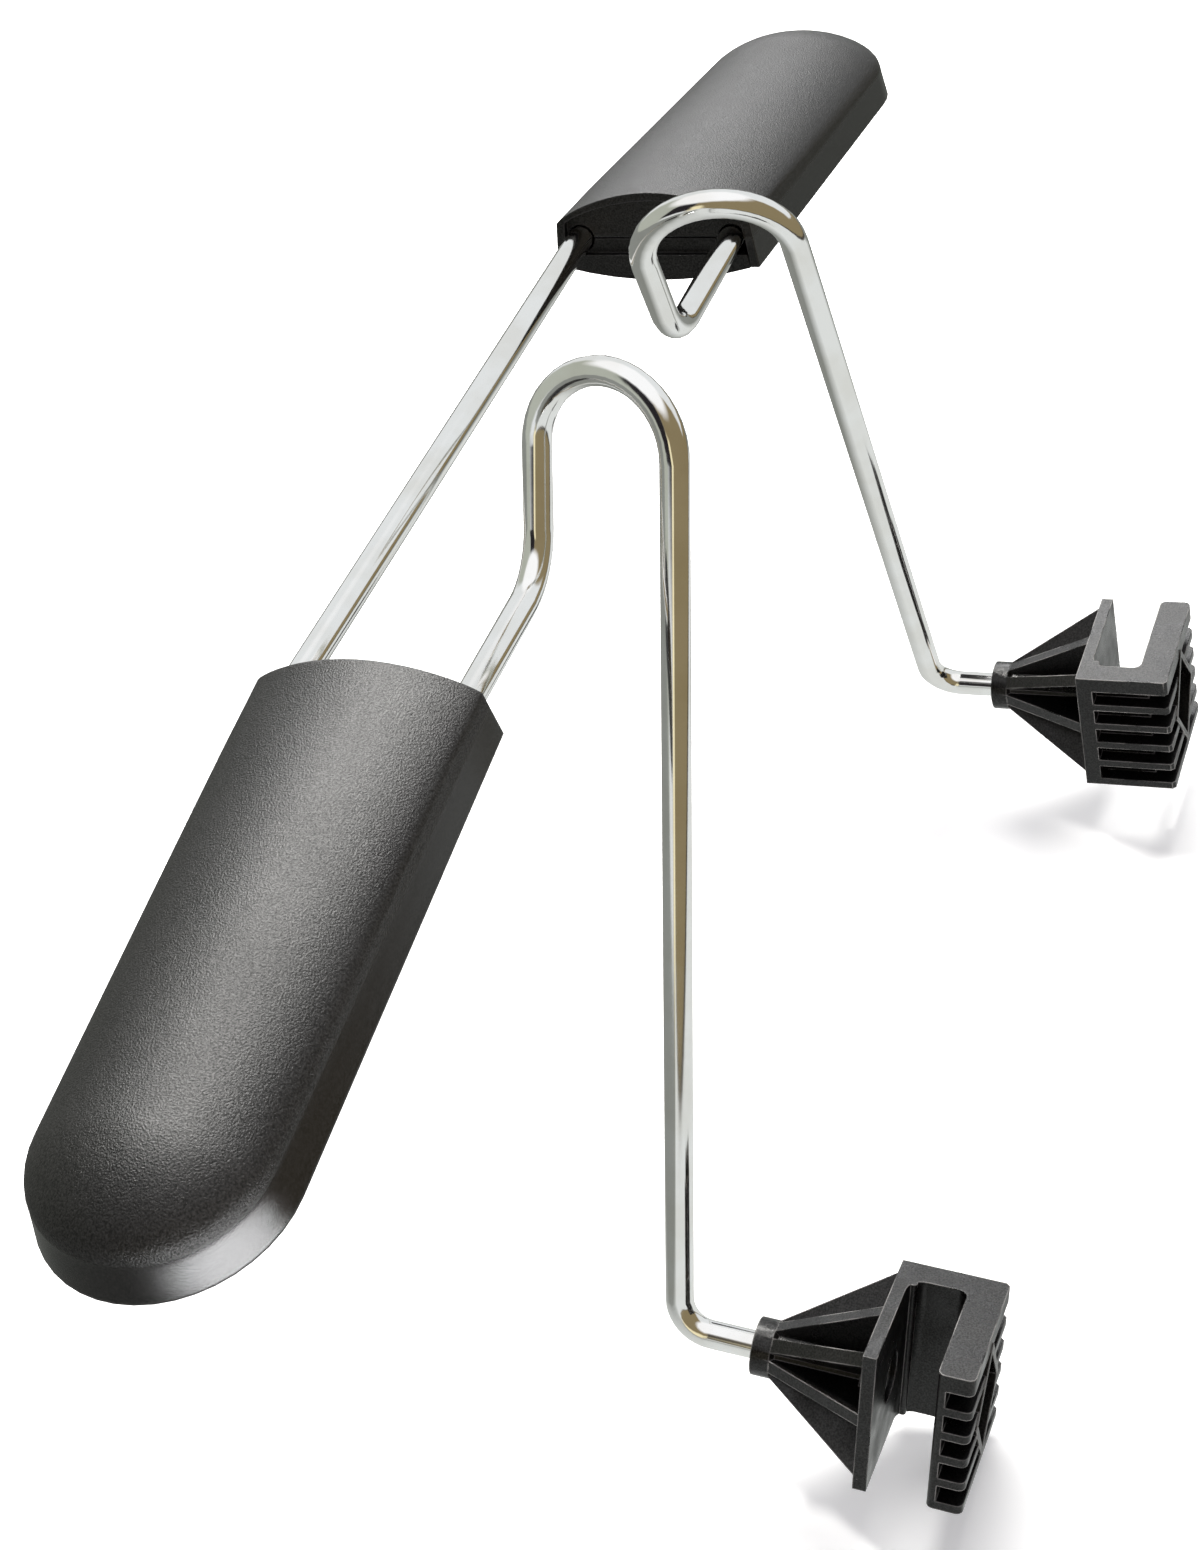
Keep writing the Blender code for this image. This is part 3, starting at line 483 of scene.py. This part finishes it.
def add_floor(height):
    """A white floor that keeps shadows. Shiny pieces see it as a pale table with a warm room beyond it."""
    bpy.ops.mesh.primitive_plane_add(size=FLOOR_SIZE, location=(0, 0, height))
    floor = bpy.context.object
    floor.name = "floor"
    material, nodes, links, shader = new_material("floor")
    shader.inputs["Base Color"].default_value = (*FLOOR_COLOUR, 1)
    shader.inputs["Roughness"].default_value = FLOOR_ROUGHNESS
    shader.inputs["Specular IOR Level"].default_value = FLOOR_SHEEN
    shader.inputs["Emission Color"].default_value = (*WHITE, 1)
    light_path = nodes.new("ShaderNodeLightPath")
    glow = spread(nodes, links, light_path.outputs["Is Camera Ray"], 0, FLOOR_GLOW)
    links.new(glow, shader.inputs["Emission Strength"])
    mirrored = nodes.new("ShaderNodeEmission")
    links.new(table_colour(nodes, links), mirrored.inputs["Color"])
    choice = nodes.new("ShaderNodeMixShader")
    links.new(light_path.outputs["Is Glossy Ray"], choice.inputs[0])
    links.new(shader.outputs["BSDF"], choice.inputs[1])
    links.new(mirrored.outputs["Emission"], choice.inputs[2])
    links.new(choice.outputs["Shader"], nodes["Material Output"].inputs["Surface"])
    floor.data.materials.append(material)


def add_world():
    """A plain pale studio. Shiny pieces see the room that ROOM describes."""
    world = bpy.data.worlds.new("studio")
    bpy.context.scene.world = world
    world.use_nodes = True
    nodes, links = world.node_tree.nodes, world.node_tree.links
    place = nodes.new("ShaderNodeTexCoord")
    split = nodes.new("ShaderNodeSeparateXYZ")
    links.new(place.outputs["Generated"], split.inputs["Vector"])
    azimuth = nodes.new("ShaderNodeMath")
    azimuth.operation = "ARCTAN2"
    links.new(split.outputs["Y"], azimuth.inputs[0])
    links.new(split.outputs["X"], azimuth.inputs[1])
    room = PALE_ROOM
    for colour, azimuths, heights in ROOM:
        bounds = [(azimuth.outputs["Value"], azimuths), (split.outputs["Z"], heights)]
        shares = [within(nodes, links, source, *bound) for source, bound in bounds if bound]
        share = both(nodes, links, *shares) if len(shares) == 2 else shares[0]
        room = blended(nodes, links, share, room, colour)
    light_path = nodes.new("ShaderNodeLightPath")
    seen = blended(nodes, links, light_path.outputs["Is Camera Ray"], DIFFUSE_LIGHT, WHITE)
    seen = blended(nodes, links, light_path.outputs["Is Glossy Ray"], seen, room)
    links.new(seen, nodes["Background"].inputs["Color"])


def direction(azimuth, elevation):
    """A unit vector from an azimuth about +Z, counted from +X, and an elevation, in radians."""
    level = cos(elevation)
    return Vector((level * cos(azimuth), level * sin(azimuth), sin(elevation)))


def add_lamp(name, azimuth, elevation, distance, width, height, power, colour):
    data = bpy.data.lights.new(name, "AREA")
    data.shape = "ELLIPSE"
    data.size = width
    data.size_y = height
    data.energy = power
    data.color = colour
    lamp = bpy.data.objects.new(name, data)
    bpy.context.scene.collection.objects.link(lamp)
    lamp.location = LAMP_AIM + direction(radians(azimuth), radians(elevation)) * distance
    lamp.rotation_euler = (LAMP_AIM - lamp.location).to_track_quat("-Z", "Y").to_euler()
    return lamp


def link_light(lamp, piece, state):
    """Keeps a lamp's light to one piece, as a card held close to it would, or keeps it off that piece."""
    receivers = bpy.data.collections.new(f"receivers_of_{lamp.name}")
    receivers.objects.link(piece)
    receivers.collection_objects[0].light_linking.link_state = state
    lamp.light_linking.receiver_collection = receivers


def add_camera():
    outward = direction(CAMERA_AZIMUTH, CAMERA_ELEVATION)
    level = (-outward).cross(Vector((0, 0, 1))).normalized()
    upright = level.cross(-outward)
    right = level * cos(CAMERA_ROLL) + upright * sin(CAMERA_ROLL)
    up = upright * cos(CAMERA_ROLL) - level * sin(CAMERA_ROLL)
    data = bpy.data.cameras.new("camera")
    data.sensor_width = SENSOR_MM
    data.lens = SENSOR_MM * FOCAL_SHARE
    data.clip_start = CLIP_START
    camera = bpy.data.objects.new("camera", data)
    bpy.context.scene.collection.objects.link(camera)
    turned = Matrix((right, up, outward)).transposed().to_4x4()
    camera.matrix_world = Matrix.Translation(CAMERA_PLACE) @ turned
    bpy.context.scene.camera = camera


def as_lists(corners):
    return [list(corner) for corner in corners]


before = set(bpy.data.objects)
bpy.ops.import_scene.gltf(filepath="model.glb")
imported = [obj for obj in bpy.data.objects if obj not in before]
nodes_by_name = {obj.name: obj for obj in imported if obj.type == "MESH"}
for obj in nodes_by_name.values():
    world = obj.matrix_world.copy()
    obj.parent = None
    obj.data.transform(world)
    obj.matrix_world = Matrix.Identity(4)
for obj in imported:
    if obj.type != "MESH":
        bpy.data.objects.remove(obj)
cad_box = as_lists(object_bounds())

finishes = {
    "wire_frame": chrome(),
    "shoulder_cover": moulded_plastic(
        "shoulder_plastic", roughness=(0.35, 0.43), grain=0.0002, edge=0.0006, wear=DULL_WEAR, patches=40
    ),
    "shoulder_base": moulded_plastic(
        "base_plastic", roughness=(0.38, 0.48), grain=0.00006, edge=0.0005, wear=DULL_WEAR, patches=40
    ),
    "clip": moulded_plastic(
        "clip_plastic", roughness=(0.22, 0.42), grain=0.00003, edge=0.0004, wear=PALE_WEAR, patches=110
    ),
    "screw": plated_steel("screw_steel", colour=(0.62, 0.62, 0.64), roughness=0.25),
    "retaining_washer": plated_steel("washer_steel", colour=(0.5, 0.5, 0.52), roughness=0.3),
}
polish_brims(finishes["shoulder_cover"])
smoothing = smoothing_group()
for node_name, node in nodes_by_name.items():
    plain_name = node_name.removeprefix("near_").removeprefix("far_").rstrip("_123")
    dress(node, finishes[plain_name], smoothing)
covers = {}
for label, side in SIDES:
    cover_name = f"{label}_shoulder_cover"
    covers[label] = formed_cover(cover_name, nodes_by_name[cover_name], side)
    dress(covers[label], finishes["shoulder_cover"], smoothing)

add_floor(cad_box[0][2] - FLOOR_DROP)
add_world()
for lamp_name, lamp_values in LAMPS.items():
    lamp = add_lamp(lamp_name, *lamp_values)
    if lamp_name == NEAR_COVERS_LAMP:
        link_light(lamp, covers["near"], "INCLUDE")
    else:
        link_light(lamp, nodes_by_name["wire_frame"], "EXCLUDE")
add_camera()
bpy.context.scene.view_settings.view_transform = "Standard"
